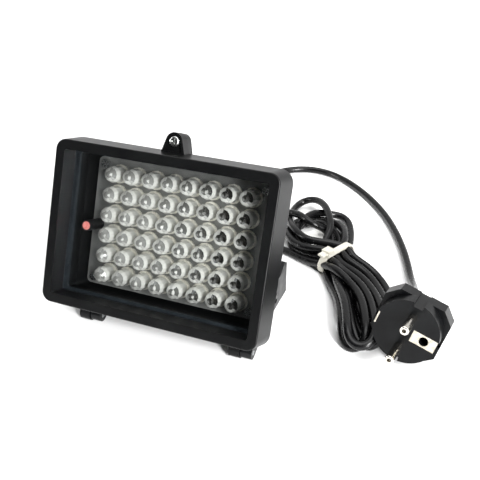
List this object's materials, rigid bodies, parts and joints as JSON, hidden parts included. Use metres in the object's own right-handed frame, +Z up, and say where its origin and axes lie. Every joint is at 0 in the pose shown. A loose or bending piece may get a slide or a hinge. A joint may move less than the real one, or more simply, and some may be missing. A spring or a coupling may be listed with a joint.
{
  "type": "infrared illuminator",
  "caption": "Rectangular infrared flood lamp with a domed emitter array behind a recessed window, tilting U bracket, tied mains lead and earthed plug.",
  "frame": {"origin": "on the table, under the middle of the lamp and its bracket", "axes": "+X to the lamp's right as seen from in front, +Y to the back, +Z up"},
  "size_m": [0.2315, 0.2642, 0.1119],
  "materials": {
    "frame_plastic": "satin, fine moulded grain",
    "body_plastic": "satin, fine moulded grain",
    "window_clear": "clear and flat",
    "seal_rubber": "dull grey",
    "pin_steel": "turned",
    "screw_steel": "bright zinc plate",
    "board_laminate": "dark solder mask",
    "emitter_epoxy": "clear epoxy with a pale flange",
    "sensor_face": "pink red face",
    "sleeve_plastic": "dull black",
    "driver_laminate": "green solder mask",
    "core_steel": "varnished laminations",
    "coil_wrap": "yellow tape",
    "capacitor_can": "printed sleeve, left blank",
    "film_box": "moulded box",
    "rectifier_epoxy": "moulded epoxy",
    "terminal_plastic": "moulded",
    "link_tin": "tinned wire",
    "insert_brass": "turned",
    "washer_plastic": "natural nylon",
    "bolt_black": "black oxide",
    "bracket_paint": "satin black powder coat",
    "cord_rubber": "satin black sheath",
    "tie_nylon": "natural nylon",
    "tag_paper": "matt white paper, blank",
    "plug_plastic": "satin black rubbery plastic",
    "pin_nickel": "nickel plate",
    "contact_brass": "nickel plated spring strip"
  },
  "bodies": {
    "housing": {"rear_body": "body_plastic", "hinge_pin_left": "pin_steel", "hinge_pin_right": "pin_steel", "led_board": "board_laminate", "led_board_screws": "screw_steel", "led_row_1": "emitter_epoxy", "led_row_2": "emitter_epoxy", "led_row_3": "emitter_epoxy", "led_row_4": "emitter_epoxy", "led_row_5": "emitter_epoxy", "led_row_6": "emitter_epoxy", "photosensor": "sensor_face", "photosensor_sleeve": "sleeve_plastic", "driver_board": "driver_laminate", "driver_board_screws": "screw_steel", "transformer_core": "core_steel", "transformer_coil": "coil_wrap", "filter_capacitor": "capacitor_can", "film_capacitor": "film_box", "rectifier": "rectifier_epoxy", "terminal_block": "terminal_plastic", "link_wires": "link_tin", "pivot_insert_left": "insert_brass", "pivot_insert_right": "insert_brass", "pivot_washer_left": "washer_plastic", "pivot_washer_right": "washer_plastic", "pivot_bolt_left": "bolt_black", "pivot_bolt_right": "bolt_black", "cord_strain_relief": "cord_rubber", "cord_near": "cord_rubber", "cord_far": "cord_rubber", "cord_hank": "cord_rubber", "cable_tie": "tie_nylon", "cord_tag": "tag_paper", "plug_body": "plug_plastic", "plug_pin_near": "pin_nickel", "plug_pin_far": "pin_nickel", "plug_earth_contact": "contact_brass", "plug_earth_contact_far": "contact_brass"},
    "door": {"front_frame": "frame_plastic", "window": "window_clear", "window_gasket": "seal_rubber", "lug_screw": "screw_steel"},
    "bracket": {"bracket": "bracket_paint"}
  },
  "joints": [
    {"name": "door_hinge", "type": "hinge", "parent": "housing", "child": "door", "pos_m": [0, -0.03391, 0.0045], "axis": [1, 0, 0], "range_deg": [0, 110]},
    {"name": "bracket_tilt", "type": "hinge", "parent": "housing", "child": "bracket", "pos_m": [0, 0.01092, 0.0095], "axis": [1, 0, 0], "range_deg": [-110, 12]}
  ]
}
